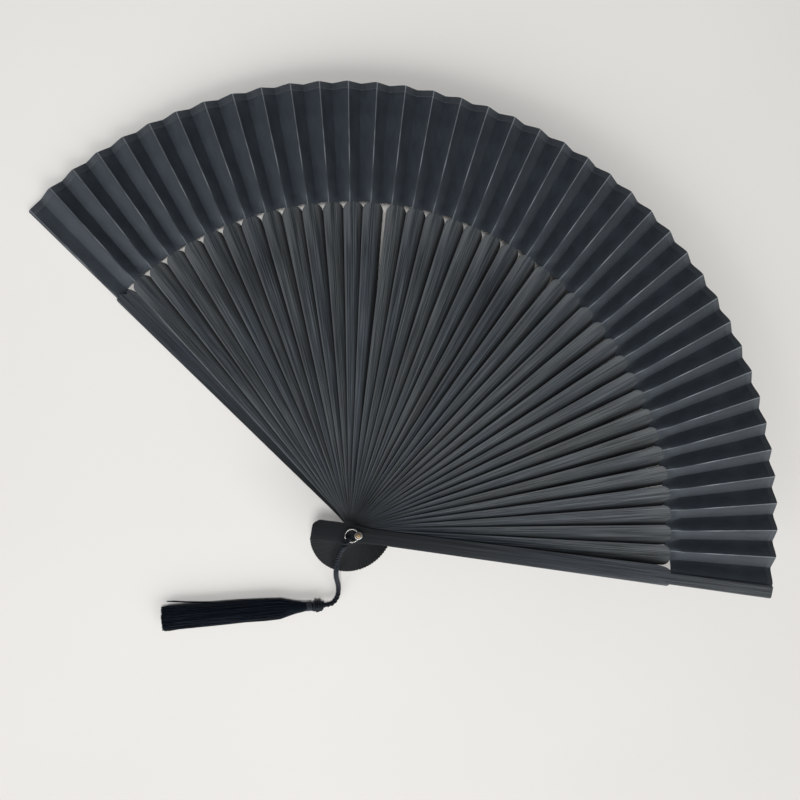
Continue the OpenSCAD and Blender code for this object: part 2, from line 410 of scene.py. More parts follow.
# Tassel: knot, binding and skirt lie along one line on the table.
tassel = {
    "at": Vector((6, -39.5, 2.95)) * mm,
    "heading": math.radians(210),
    "knot": 2.9 * mm,
    "stretch": 1.2,            # the knot is a little longer than wide
    "knotThread": 0.4 * mm,
    "knotTurns": 8,
    "knotPole": math.radians(16),   # bare cap at each end of the knot
    "binding": 2.2 * mm,       # length, and outer radius
    "bindingThread": 0.3 * mm,
    "bindingTurns": 4,
    "skirt": 63 * mm,
    "skirtWidth": 11 * mm,
    "skirtHeight": 5.8 * mm,
    "threads": 300,
    "thread": 0.2 * mm,
    "points": 11,              # along one thread
    "neck": 1.7,               # skirt's radius where it leaves the binding, in mm
    "bulge": 0.24,             # share of the skirt's length over which it swells
    "strayPoints": 14,
    "ragged": 1.1 * mm,        # uneven cut
    "strays": 7,
}
tasselAlong = Vector((math.cos(tassel["heading"]), math.sin(tassel["heading"]), 0))
tasselSide = Vector((-tasselAlong.y, tasselAlong.x, 0))


def tasselPoint(along, side, up):
    return tassel["at"] + tasselAlong * along + tasselSide * side + Vector((0, 0, up))


def tasselCore(name, along, radius, length):
    deselect()
    bpy.ops.mesh.primitive_uv_sphere_add(segments=24, ring_count=14, radius=1)
    piece = bpy.context.object
    piece.name = name
    for vertex in piece.data.vertices:
        x, y, z = vertex.co
        vertex.co = tasselPoint(along + z * length / 2, x * radius, y * radius)
    makeActive(piece)
    bpy.ops.object.mode_set(mode="EDIT")
    bpy.ops.mesh.select_all(action="SELECT")
    bpy.ops.mesh.normals_make_consistent(inside=False)
    bpy.ops.object.mode_set(mode="OBJECT")
    bpy.ops.object.shade_smooth()
    return piece


def makeKnot(silk):
    radius, thread = tassel["knot"] - tassel["knotThread"], tassel["knotThread"]
    core = tasselCore("knotHead", tassel["knot"], radius, 2 * radius * tassel["stretch"])
    windings = []
    for lean in (0.5, -0.5):   # two layers that cross
        path = []
        steps = tassel["knotTurns"] * 20
        for k in range(steps + 1):
            t = k / steps
            polar = tassel["knotPole"] + t * (math.pi - 2 * tassel["knotPole"])
            turn = math.tau * tassel["knotTurns"] * t / 2 * (1 if lean > 0 else -1)
            ring = radius * math.sin(polar)
            up = ring * math.sin(turn)
            side = ring * math.cos(turn)
            along = -radius * math.cos(polar) + lean * ring * math.sin(turn) * 0.5
            size = math.sqrt(along ** 2 + side ** 2 + up ** 2)
            shrink = (radius + 0.1 * mm * (lean > 0)) / size
            along *= tassel["stretch"]
            path.append(tasselPoint(tassel["knot"] + along * shrink, side * shrink, up * shrink))
        windings.append(path)
    piece = joinTo(core, sweep("knotThread", windings, thread, 2))
    piece.data.materials.clear()
    piece.data.materials.append(silk)
    addPiece(piece, "tassel", "cord", "knot_head")
    return piece


def makeBinding(silk):
    start, length = 2 * tassel["knot"] - 0.5 * mm, tassel["binding"] + 0.7 * mm
    radius = tassel["binding"] - 2 * tassel["bindingThread"]
    core = tasselCore("neckBinding", start + length / 2, radius + tassel["bindingThread"] * 0.4,
                      length * 1.5)
    path = []
    steps = tassel["bindingTurns"] * 24
    for k in range(steps + 1):
        t = k / steps
        turn = math.tau * tassel["bindingTurns"] * t
        ring = radius + tassel["bindingThread"]
        path.append(tasselPoint(start + 0.3 * mm + (length - 0.6 * mm) * t,
                                ring * math.cos(turn), ring * math.sin(turn)))
    piece = joinTo(core, sweep("bindingThread", [path], tassel["bindingThread"], 2))
    piece.data.materials.clear()
    piece.data.materials.append(silk)
    addPiece(piece, "tassel", "cord", "neck_binding")
    return piece


# One thread of the skirt: out of the binding, a quick bulge, then loosely straight.
def threadPath(turn, reach, length, wander):
    start = 2 * tassel["knot"] + tassel["binding"] - 0.8 * mm
    neck = tassel["neck"]
    phase = rng.uniform(0, math.tau)
    waves = rng.uniform(0.6, 1.5)
    path = []
    for k in range(tassel["points"]):
        t = k / (tassel["points"] - 1)
        bulge = smooth(t / tassel["bulge"])
        halfWide = tassel["skirtWidth"] / mm / 2 * (0.84 + 0.12 * t)
        across = (neck + (halfWide - neck) * bulge) * mm
        high = (neck + (tassel["skirtHeight"] / mm / 2 - 0.3 - neck) * bulge) * mm
        wave = math.tau * waves * t + phase
        side = across * reach * math.cos(turn) + wander * bulge * math.sin(wave)
        up = high * reach * math.sin(turn) + wander * 0.4 * bulge * math.cos(wave)
        up = max(up, -tassel["at"].z + 0.3 * mm)
        path.append(tasselPoint(start + (length + 0.8 * mm) * t, side, up))
    return path


def strayPath(side, lift):
    start = 2 * tassel["knot"] + tassel["binding"]
    leave = rng.uniform(0.35, 0.6)
    length = tassel["skirt"] * rng.uniform(0.9, 1.0)
    bend = rng.uniform(-0.5, 0.5)
    path = []
    for k in range(tassel["strayPoints"]):
        t = k / (tassel["strayPoints"] - 1)
        out = max(0.0, t - leave) / (1 - leave)
        across = 4.1 * mm * smooth(t / 0.3) + (2.4 + bend) * mm * out ** 1.3
        across -= 1.3 * mm * bend * out ** 3
        up = -tassel["at"].z + 0.35 * mm + lift * (1 - out) + 1.6 * mm * (1 - smooth(t / 0.3))
        path.append(tasselPoint(start + length * t, side * across, up))
    return path


def makeSkirt(silk):
    paths = []
    for k in range(tassel["threads"]):
        reach = math.sqrt((k + 0.5) / tassel["threads"])
        turn = k * math.pi * (3 - math.sqrt(5))
        length = tassel["skirt"] - rng.uniform(0, 1) ** 2 * tassel["ragged"] * 2
        paths.append(threadPath(turn, reach, length, rng.uniform(0.1, 0.45) * mm))
    for k in range(tassel["strays"]):
        paths.append(strayPath((-1) ** k, rng.uniform(0.5, 2.0) * mm))
    piece = sweep("tasselSkirt", paths, tassel["thread"], 0)
    piece.data.materials.append(silk)
    addPiece(piece, "tassel", "skirt", "skirt")
    return piece


skirtSilk = silkMaterial("skirtSilk", (0.0010, 0.0014, 0.0027), (0.0036, 0.0050, 0.0092), 0.42)
bindingSilk = silkMaterial("bindingSilk", (0.01, 0.011, 0.014), (0.045, 0.05, 0.058), 0.4)
tasselPieces = [makeKnot(cordSilk), makeBinding(bindingSilk), makeSkirt(skirtSilk)]
print("tassel made")

# Ribs: one template, flat and straight, then a copy for each place in the stack.
rib = {
    "width": 8.95 * mm,
    "neck": 4.4 * mm,
    "shoulder": 3.9 * mm,       # radius of the round shoulders
    "thickness": 0.5 * mm,
    "slipWidth": 3.4 * mm,
    "slipThickness": 0.28 * mm,
    "slipEnd": 189 * mm,
    "shade": 0.45,              # share of a rib's open strip that painted shade darkens towards the next rib
    "crown": 0.07 * mm,         # the blade's middle stands proud of its edges
    "bevel": 0.11 * mm,
    "corner": 0.3 * mm,         # one corner of a rib's head is sharp, so the stack looks
    "roundCorner": 2.4 * mm,    # toothed, and the other is round
    "headFlat": 260 * mm,
    "headSkew": 0.07,
    "columns": 8,
    "leanSpread": math.radians(0.5),
    "yawSpread": math.radians(0.09),
    "wideGap": {12: 0.1, 13: 0.3, 14: -0.28, 15: -0.12},  # ribs pushed apart, in degrees
    "look": {
        "dark": (0.0150, 0.0170, 0.0190), "light": (0.077, 0.087, 0.096),
        # colour and share of the painted highlight on the long edges
        "edgeHighlight": (0.13, 0.137, 0.145), "edgeHighlightShare": 0.45,
        "roughness": 0.38, "gloss": 0.5, "relief": 1.0, "tint": (0.92, 0.97, 1.0),
    },
}


# Half of a stick's width at x, from the head's cut end to the shoulder.
def halfWidth(x, neck, width, shoulderAt, corner):
    full = stack["headWidth"] / 2
    cornerAt = -stack["headEnd"] + corner
    if x < cornerAt:
        depth = min(1.0, (cornerAt - x) / corner)
        return full - corner + corner * math.sqrt(max(0.0, 1 - depth * depth))
    if x < stack["flareStart"]:
        return full
    if x < stack["flareEnd"]:
        t = (x - stack["flareEnd"]) / (stack["flareStart"] - stack["flareEnd"])
        return neck / 2 + (full - neck / 2) * (1 - math.cos(math.pi * t)) / 2
    return neck / 2 + (width - neck) / 2 * (x - stack["flareEnd"]) / (shoulderAt - stack["flareEnd"])


# Stations along a stick's head, closer together where the outline turns.
def headStations(corner=stack["cornerRadius"]):
    turns = [-stack["headEnd"] + corner * (1 - math.cos(math.radians(a)))
             for a in (0, 10, 25, 40, 55, 70, 90)]
    flare = [stack["flareStart"] + (stack["flareEnd"] - stack["flareStart"]) * k / 8 for k in range(9)]
    return turns + flare


# The cut end of a head is an arc of this radius; a rib's is nearly straight and askew.
def headBow(x, y, flat, skew=0.0):
    return (y * y / (2 * flat) + y * skew) * smooth((stack["flareStart"] - x) / (8 * mm))


def sideOf(t, clockwise, anticlockwise):
    return -clockwise + (clockwise + anticlockwise) * t


def makeRibTemplate():
    shoulderAt = stack["leaf"] - rib["shoulder"]
    slip = rib["slipWidth"] / 2
    turn = [shoulderAt + rib["shoulder"] * math.sin(math.radians(a)) for a in range(15, 76, 15)]
    cut = slip - rib["width"] / 2 + rib["shoulder"]
    lastTurn = shoulderAt + math.sqrt(rib["shoulder"] ** 2 - cut ** 2)
    blade = [(stack["flareEnd"] + (shoulderAt - stack["flareEnd"]) * k / 8) for k in range(1, 9)]
    twist = [stack["leaf"] + stack["twist"] * k / 6 for k in range(7)]
    heads = sorted(set(headStations(rib["corner"]) + headStations(rib["roundCorner"])))
    stations = heads + blade + [x for x in turn if x < lastTurn] + [lastTurn] + twist
    stations += [stack["leaf"] + (rib["slipEnd"] - stack["leaf"]) * k / 4 for k in range(2, 5)]

    def place(x, t):
        if x <= shoulderAt:
            half = halfWidth(x, rib["neck"], rib["width"], shoulderAt, rib["corner"])
            other = halfWidth(x, rib["neck"], rib["width"], shoulderAt, rib["roundCorner"])
        else:
            rise = math.sqrt(max(0.0, rib["shoulder"] ** 2 - (x - shoulderAt) ** 2))
            half = other = max(slip, rib["width"] / 2 - rib["shoulder"] + rise)
        y = sideOf(t, half, other)
        bow = rib["crown"] * (1 - (y / half) ** 2) if x < stack["leaf"] else 0
        if x < stack["flareStart"]:
            x += headBow(x, y, rib["headFlat"], rib["headSkew"])
        return (x, y, bow), (x, y)

    columns = rib["columns"]
    piece = shapedGrid("ribTemplate", stations, [k / columns for k in range(columns + 1)], place)
    thin = rib["slipThickness"] / rib["thickness"]
    thickGroup(piece, lambda co: 1.0 if co.x <= lastTurn + 0.01 * mm else thin)
    applyModifier(piece, "SOLIDIFY", thickness=rib["thickness"], offset=0, vertex_group="thickness",
                  use_even_offset=False)
    applyModifier(piece, "BEVEL", width=rib["bevel"], segments=2, limit_method="ANGLE",
                  angle_limit=math.radians(50))
    cutBore(piece, 4 * mm, 0)
    markEdges(piece, rib["neck"], rib["width"], shoulderAt, slip)
    markPaintedShade(piece, shoulderAt)
    return piece


def cutBore(piece, depth, height, radius=None):
    deselect()
    bpy.ops.mesh.primitive_cylinder_add(vertices=32, radius=radius or stack["bore"], depth=depth,
                                        location=(0, 0, height))
    cutter = bpy.context.object
    applyModifier(piece, "BOOLEAN", operation="DIFFERENCE", object=cutter, solver="EXACT",
                  use_self=True)
    bpy.data.objects.remove(cutter)


# Marks how close a point is to a long edge, for the painted highlight along it.
def markEdges(piece, neck, width, shoulderAt, slip, band=0.35 * mm):
    marks = piece.data.attributes.new("edge", "FLOAT", "POINT")
    for vertex in piece.data.vertices:
        x, y = vertex.co.x, abs(vertex.co.y)
        half = halfWidth(x, neck, width, shoulderAt, rib["corner"]) if x < shoulderAt else slip
        marks.data[vertex.index].value = max(0.0, 1 - max(0.0, half - y) / band)


# Marks painted shade: how deep a point of a rib lies under the next rib of the open fan.
# The heads get deep painted shade all over.
def markPaintedShade(piece, shoulderAt):
    marks = piece.data.attributes.new("under", "FLOAT", "POINT")
    for vertex in piece.data.vertices:
        x, y = vertex.co.x, vertex.co.y
        half = halfWidth(min(x, shoulderAt), rib["neck"], rib["width"], shoulderAt, rib["corner"])
        seen = max(0.5 * mm, x * math.sin(stepAngle))
        depth = (y - half + seen) / (rib["shade"] * seen)
        covered = (1 - smooth(depth)) * smooth((x - 8 * mm) / (10 * mm))
        marks.data[vertex.index].value = max(covered, 0.88 * (1 - smooth((x + 8 * mm) / (30 * mm))))


def placeStick(piece, i, height, leanOf=None, yaw=0.0):
    turn = Matrix.Rotation(azimuthOf(i) + yaw, 4, "Z")
    for vertex in piece.data.vertices:
        x, y, z = vertex.co
        if leanOf:
            lean = leanOf(x)
            y, z = y * math.cos(lean) - z * math.sin(lean), y * math.sin(lean) + z * math.cos(lean)
            z += yaw * x * math.tan(lean)   # a stick pushed aside stays in its panel's plane
        vertex.co = turn @ Vector((x, y, z + height))
    piece.data.update()


def makeRibs(wood):
    template = makeRibTemplate()
    for i in range(1, front):
        piece = template.copy()
        piece.data = template.data.copy()
        piece.name = piece.data.name = f"rib{i:02d}"
        bpy.context.scene.collection.objects.link(piece)
        extra = rng.uniform(-1, 1) * rib["leanSpread"]
        yaw = rng.uniform(-1, 1) * rib["yawSpread"] + math.radians(rib["wideGap"].get(i, 0))
        placeStick(piece, i, middleOf(i) - rib["crown"] / 2, lambda x: leanAt(i, x, extra), yaw)
        for spot in piece.data.uv_layers.active.data:
            spot.uv += Vector((0.41, 0.053)) * i
        piece.vertex_groups.clear()
        piece.data.materials.append(wood)
        shadeByAngle(piece)
        addPiece(piece, f"rib_{i:02d}", "rib", f"rib_{i:02d}")
    bpy.data.objects.remove(template)


ribWood = woodMaterial("ribWood", rib["look"])
makeRibs(ribWood)
print("ribs stacked")

# Guards: a thick blade with softened edges that steps down to a thin slip, which
# sits off the middle line, away from the leaf.
guard = {
    "width": 8.8 * mm,
    "neck": 6.2 * mm,
    "thickness": 2.6 * mm,
    "slipThickness": 0.85 * mm,
    "slipWidth": 5 * mm,
    "tipWidth": 5.8 * mm,
    "tipCorner": 0.8 * mm,
    "slipShift": 1 * mm,
    "shoulderReach": 6.4 * mm,  # length of the leaf side's long round shoulder
    "outerReach": 1.6 * mm,     # and of the other side's short one
    "headFlat": 40 * mm,
    "shadeFadeFrom": -20 * mm,      # the painted shade starts to fade here
    "shadeFadeLength": 210 * mm,          # over this length
    "dome": 0.3 * mm,           # the blade's outer face is slightly rounded
    "slipDome": 0.08 * mm,
    "slipSunk": 0.02 * mm,      # the slip lies this far under the blade's face
    "washerSeat": 2.35 * mm,    # radius of the back guard's hole for the washer
    "seatDepth": 0.75 * mm,
    "bevel": 0.28 * mm,
    "columns": 8,
    "look": {
        "dark": (0.018, 0.020, 0.025), "light": (0.078, 0.085, 0.095),
        # colour and share of the painted highlight on the long edges
        "edgeHighlight": (0.12, 0.127, 0.138), "edgeHighlightShare": 0.35,
        "roughness": 0.4, "gloss": 0.5, "relief": 0.5, "tint": (0.85, 0.93, 1.0),
    },
}


# Half widths of a guard at x, on its clockwise and anticlockwise side.
def guardBladeSpread(x):
    outside = guard["slipWidth"] / 2 + guard["slipShift"]
    inside = guard["slipWidth"] / 2 - guard["slipShift"]
    sides = []
    for side, reach in ((outside, guard["outerReach"]), (inside, guard["shoulderReach"])):
        past = (x - stack["leaf"] + reach) / reach
        half = halfWidth(min(x, stack["leaf"] - reach), guard["neck"], guard["width"],
                         stack["leaf"] - reach, stack["cornerRadius"])
        if past > 0:
            half = side + (half - side) * math.sqrt(max(0.0, 1 - past * past))
        sides.append(half)
    return sides


def guardSlipSpread(x):
    grow = (x - stack["leaf"]) / (stack["tip"] - stack["leaf"])
    half = (guard["slipWidth"] + (guard["tipWidth"] - guard["slipWidth"]) * grow) / 2
    corner = guard["tipCorner"]
    into = max(0.0, x - stack["tip"] + corner)
    half -= corner - math.sqrt(max(0.0, corner ** 2 - into ** 2))
    return half + guard["slipShift"], half - guard["slipShift"]


def guardLayer(name, stations, spread, thickness, dome):
    def place(x, t):
        y = sideOf(t, *spread(x))
        sunk = dome * (2 * t - 1) ** 2
        if x < stack["flareStart"]:
            x += headBow(x, y, guard["headFlat"])
        return (x, y, -sunk), (x, y)

    columns = guard["columns"]
    piece = shapedGrid(name, stations, [k / columns for k in range(columns + 1)], place)
    applyModifier(piece, "SOLIDIFY", thickness=thickness, offset=-1)
    for vertex in piece.data.vertices:   # the inner face is flat
        if vertex.co.z < -(thickness + dome) / 2:
            vertex.co.z = -thickness
    applyModifier(piece, "BEVEL", width=guard["bevel"] * min(1, thickness / mm), segments=3,
                  limit_method="ANGLE", angle_limit=math.radians(50))
    return piece


def makeGuard(name):
    shoulderAt = stack["leaf"] - guard["shoulderReach"]
    blade = [stack["flareEnd"] + (shoulderAt - stack["flareEnd"]) * k / 8 for k in range(1, 9)]
    turn = [shoulderAt + guard["shoulderReach"] * math.sin(math.radians(a))
            for a in (12, 24, 36, 44, 49, 54, 59, 64, 69, 74, 79, 84, 90)]
    piece = guardLayer(name, headStations() + blade + turn, guardBladeSpread, guard["thickness"],
                       guard["dome"])
    overlap = 2 * mm   # of the slip with the blade
    slipLength = stack["tip"] - guard["tipCorner"] - stack["leaf"] + overlap
    slip = [stack["leaf"] - overlap + slipLength * k / 6 for k in range(7)]
    slip += [stack["tip"] - guard["tipCorner"] * (1 - math.sin(math.radians(a))) for a in (30, 60, 90)]
    strip = guardLayer("slip", slip, guardSlipSpread, guard["slipThickness"], guard["slipDome"])
    for vertex in strip.data.vertices:
        vertex.co.z -= guard["slipSunk"]
    applyModifier(piece, "BOOLEAN", operation="UNION", object=strip, solver="EXACT", use_self=True)
    bpy.data.objects.remove(strip)
    cutBore(piece, 8 * mm, 0)
    markEdges(piece, guard["neck"], guard["width"], shoulderAt,
              guard["slipWidth"] / 2 + guard["slipShift"])
    marks = piece.data.attributes.new("under", "FLOAT", "POINT")
    for vertex in piece.data.vertices:   # painted shade, darkest at the head, fading out towards the tip
        faded = smooth((vertex.co.x - guard["shadeFadeFrom"]) / guard["shadeFadeLength"])
        marks.data[vertex.index].value = 0.9 * (1 - faded)
    for spot in piece.data.uv_layers.active.data:
        spot.uv += Vector((-3.7, 0.31))
    return piece


def turnOut(piece):
    makeActive(piece)
    bpy.ops.object.mode_set(mode="EDIT")
    bpy.ops.mesh.select_all(action="SELECT")
    bpy.ops.mesh.normals_make_consistent(inside=False)
    bpy.ops.object.mode_set(mode="OBJECT")


def makeGuards(wood):
    frontGuard = makeGuard("frontGuard")
    placeStick(frontGuard, front, stack["top"])
    backGuard = makeGuard("backGuard")
    for vertex in backGuard.data.vertices:   # turned over, its outer face down
        vertex.co.y, vertex.co.z = -vertex.co.y, -vertex.co.z
    cutBore(backGuard, 2 * guard["seatDepth"], 0, guard["washerSeat"])
    placeStick(backGuard, 0, 0)
    for piece, body in ((frontGuard, "front_guard"), (backGuard, "back_guard")):
        turnOut(piece)
        piece.vertex_groups.clear()
        piece.data.materials.append(wood)
        shadeByAngle(piece)
        addPiece(piece, body, "guard", body)


guardWood = woodMaterial("guardWood", guard["look"])
makeGuards(guardWood)
print("guards made")

# Leaf: one pleat for each stick, from its anticlockwise fold over the glued panel and
# the free panel to the next stick's fold.
leaf = {
    "glued": 0.46 * stepAngle / 2,   # half the angle of a glued panel
    "gap": 0.05 * mm,
    "cloth": 0.09 * mm,
    "hem": 0.17 * mm,                # thickness of the turned hem
    "hemWidth": 2.8 * mm,
    "endEdge": 3.2 * mm,             # leaf's own ends, from the guards' middle lines
    "start": 140.6 * mm,
    "curl": 0.55,                    # how far a free panel curves into its folds
    "sag": 0.1 * mm,
    "ripple": 0.12 * mm,
    # the tongue puts dark cloth where the pockets between the shoulders lie in shade
    "tongue": (-0.4 * mm, 3.0 * mm),  # how far the free panels reach in between the shoulders,
    "tongueFrom": 19,                 # first from the back guard to this pleat,
    "tongueOver": 8,                  # then growing over so many pleats
    "flatWidth": 12.9 * mm,
    "flatLength": 49.7 * mm,
    "flatArea": 5.6e-4,
    "endWider": 1.3,                  # the last pleat also covers the front guard's panel
    "endLarger": 1.35,
}


def foldOffset(i, r, side):
    if (i == 0 and side > 0) or (i == front and side < 0):
        return side * math.asin(leaf["endEdge"] / r)
    return side * leaf["glued"]


def foldHeight(i, r, side):
    if i == 0:
        return guard["slipThickness"] + leaf["gap"]
    if i == front:
        return stack["top"] - guard["slipThickness"] - leaf["gap"] - leaf["hem"]
    lean = leanAt(i, r)
    over = (rib["slipThickness"] / 2 + leaf["gap"]) / math.cos(lean)
    return middleOf(i) + over + side * r * math.sin(leaf["glued"]) * math.tan(lean)


# A point of pleat i: s runs 0 to 1 over the glued panel, 1 to 2 over the free one and
# 2 to 3 over the front guard's own panel.
def pleatPoint(i, r, s, curl):
    if s <= 1 or s > 2:
        stick, side = (i, 1 - 2 * s) if s <= 1 else (i + 1, 5 - 2 * s)
        a, b = foldOffset(stick, r, 1), foldOffset(stick, r, -1)
        share = (1 - side) / 2
        angle = azimuthOf(stick) + a + (b - a) * share
        z = foldHeight(stick, r, 1) * (1 - share) + foldHeight(stick, r, -1) * share
        return angle, z
    t = s - 1
    a, b = azimuthOf(i) + foldOffset(i, r, -1), azimuthOf(i + 1) + foldOffset(i + 1, r, 1)
    low, high = foldHeight(i, r, -1), foldHeight(i + 1, r, 1)
    angle = a + (b - a) * t
    loose = smooth((r - leaf["start"]) / (15 * mm))
    bend = noise.noise(Vector((i * 3.1, r * 60, t))) * leaf["ripple"] * loose
    rise = (high - low) * ((1 - curl) * t + curl * smooth(t))
    z = low + rise + (bend - leaf["sag"]) * math.sin(math.pi * t)
    return angle, z


def makePleat(i, cloth):
    hemAt = stack["tip"] - leaf["hemWidth"]
    stations = [leaf["start"] + (stack["twist"] - 0.3 * mm) * k / 4 for k in range(5)]
    stations += [stack["leaf"] + (hemAt - stack["leaf"]) * k / 5 for k in range(2, 6)]
    stations += [hemAt + 0.12 * mm, stack["tip"] - 1.2 * mm, stack["tip"]]
    shares = [0, 0.06, 0.35, 0.65, 0.94]
    shares += [1 + t for t in (0, 0.05, 0.2, 0.35, 0.5, 0.65, 0.8, 0.95, 1)]
    shares += [2.06, 2.35, 2.65, 3] if i == ribCount else []
    curl = leaf["curl"] + rng.uniform(-0.12, 0.12)

    # free panels reach in between the shoulders as dark cloth where the pockets lie in shade
    inner, outer = leaf["tongue"]
    grown = smooth((i - leaf["tongueFrom"]) / leaf["tongueOver"]) if i < ribCount else 0
    tongue = inner + (outer - inner) * grown

    def place(r, s):
        angle, z = pleatPoint(i, r, s, curl)
        if 1 < s < 2:
            fade = 1 - smooth((r - leaf["start"]) / stack["twist"])
            r -= tongue * math.sin(math.pi * (s - 1)) ** 0.6 * fade
        along = Vector((r * math.cos(angle), r * math.sin(angle), z))
        across = (azimuthOf(i) + foldOffset(i, r, 1) - angle) * r
        return along, (r, across if s <= 2 else 2 * stepAngle * r)

    # the grid's columns run clockwise here, so the normals are turned up afterwards
    piece = shapedGrid(f"pleat{i:02d}", stations, shares, place)
    turnUp(piece)
    thin = leaf["cloth"] / leaf["hem"]
    thickGroup(piece, lambda co: 1.0 if co.xy.length > hemAt + 0.05 * mm else thin)
    applyModifier(piece, "SOLIDIFY", thickness=leaf["hem"], offset=1, vertex_group="thickness",
                  use_even_offset=False)
    piece.vertex_groups.clear()
    piece.data.materials.append(cloth)
    shadeByAngle(piece, 28)
    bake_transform(piece)
    return piece


def turnUp(piece):
    if sum(face.normal.z for face in piece.data.polygons) < 0:
        makeActive(piece)
        bpy.ops.object.mode_set(mode="EDIT")
        bpy.ops.mesh.select_all(action="SELECT")
        bpy.ops.mesh.flip_normals()
        bpy.ops.object.mode_set(mode="OBJECT")


# Plain woven cloth: fine warp and weft, a soft sheen, paler at the hem, and a painted
# highlight along the sharp ridge folds.
def clothMaterial():
    material = newMaterial("leafCloth", Roughness=0.5, Sheen_Weight=0.05, Sheen_Roughness=0.4,
                           Sheen_Tint=(0.75, 0.85, 1, 1), Specular_IOR_Level=0.85,
                           Specular_Tint=(0.78, 0.88, 1, 1))
    uv = addNode(material, "UVMap").outputs["UV"]
    parts = addNode(material, "SeparateXYZ", {"Vector": uv})
    radius, across = parts.outputs["X"], parts.outputs["Y"]
    blotch = noiseOf(material, scaled(material, uv, (60, 160, 1)), 1, 4, 0.6)
    fuzz = noiseOf(material, scaled(material, uv, (2200, 2200, 1)), 1, 2, 0.6)
    colour = ramp(material, blotch, (0.0078, 0.0102, 0.0138), (0.0195, 0.0245, 0.0310), 0.36, 0.64)
    grain = ramp(material, fuzz, (0.75, 0.75, 0.75), (1.25, 1.25, 1.25), 0.3, 0.7)
    colour = mixColour(material, 1, colour, grain, "MULTIPLY")
    hem = rangeOf(material, radius, stack["tip"] - leaf["hemWidth"] - 0.1 * mm,
                  stack["tip"] - leaf["hemWidth"] + 0.2 * mm, 0.0, 0.35)
    colour = mixColour(material, hem, colour, (0.045, 0.048, 0.052, 1))
    # painted highlight along the ridge fold at each glued panel's anticlockwise edge
    crease = rangeOf(material, across, 0.15 * mm, 0.5 * mm, 1.0, 0.0)
    patch = noiseOf(material, scaled(material, uv, (70, 20, 1)), 1, 2, 0.5)
    patch = rangeOf(material, patch, 0.38, 0.62, 0.15, 1.0)
    crease = addNode(material, "Math", {0: crease, 1: patch}, operation="MULTIPLY").outputs["Value"]
    colour = mixColour(material, crease, colour, (0.22, 0.24, 0.262, 1))
    toShader(material, "Base Color", colour)
    threads = []
    for scale in ((3600, 0, 1), (0, 3600, 1)):
        inputs = {"Vector": scaled(material, uv, scale), "Scale": 1.0, "Distortion": 0.3}
        direction = "X" if scale[0] else "Y"
        threads.append(addNode(material, "TexWave", inputs, bands_direction=direction).outputs["Fac"])
    weave = addNode(material, "Math", dict(enumerate(threads)), operation="MULTIPLY").outputs["Value"]
    weave = addNode(material, "Math", {0: weave, 1: fuzz}, operation="ADD").outputs["Value"]
    under = bumpTo(material, blotch, 0.0004, 0.25)
    bumpTo(material, weave, 0.00006, 0.5, under)
    return material


leafCloth = clothMaterial()
pleats = [makePleat(i, leafCloth) for i in range(front)]
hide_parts("leaf")
print("leaf pleated")

# Pin with its collar, split ring and washer.
metal = {
    "pin": 0.95 * mm,
    "foot": 1.5 * mm,
    "footFrom": 0.05 * mm,
    "footHeight": 0.35 * mm,
    "collar": 1.7 * mm,
    "collarHeight": 1.3 * mm,
    "washer": 2.3 * mm,
    "washerHeight": 0.3 * mm,
    "ring": 2.75 * mm,
    "wire": 0.3 * mm,
    "ringHeading": math.radians(208),
    "ringHeight": 0.75 * mm,     # over the front guard
    "ringClear": 0.1 * mm,       # under the ring's far side
    "ringOpening": math.radians(9),
    "ringStart": math.radians(40),
    "channelClear": 0.07 * mm,   # round the ring's wire
    "segments": 48,
}


# A turned piece: an outline of (radius, height) spun round the pin's axis.
def turned(name, outline, closed=False):
    deselect()
    mesh = bpy.data.meshes.new(name)
    count = len(outline)
    edges = [(k, k + 1) for k in range(count - 1)] + ([(count - 1, 0)] if closed else [])
    mesh.from_pydata([(r, 0, z) for r, z in outline], edges, [])
    piece = bpy.data.objects.new(name, mesh)
    bpy.context.scene.collection.objects.link(piece)
    applyModifier(piece, "SCREW", angle=math.tau, steps=metal["segments"],
                  render_steps=metal["segments"], use_merge_vertices=True,
                  merge_threshold=0.002 * mm)
    turnOut(piece)
    return piece


def metalMaterial(name, colour, roughness, scratch):
    material = newMaterial(name, Metallic=1.0, Roughness=roughness)
    spot = addNode(material, "TexCoord").outputs["Object"]
    marks = noiseOf(material, scaled(material, spot, (1, 1, 6)), 900, 5, 0.6)
    dull = tuple(c * 0.72 for c in colour)
    toShader(material, "Base Color", ramp(material, marks, dull, colour, 0.3, 0.6))
    toShader(material, "Roughness", rangeOf(material, marks, 0.3, 0.7, roughness, roughness + scratch))
    bumpTo(material, marks, 0.00003, 0.5)
    return material


def ringPoint(turn, radius):
    lean = math.asin((metal["ringHeight"] - metal["wire"] - metal["ringClear"]) / (2 * metal["ring"]))
    local = Vector((metal["ring"] + radius * math.cos(turn), radius * math.sin(turn), 0))
    local.rotate(Euler((0, lean, 0)))
    local.rotate(Euler((0, 0, metal["ringHeading"])))
    return local + Vector((0, 0, stack["top"] + metal["ringHeight"]))


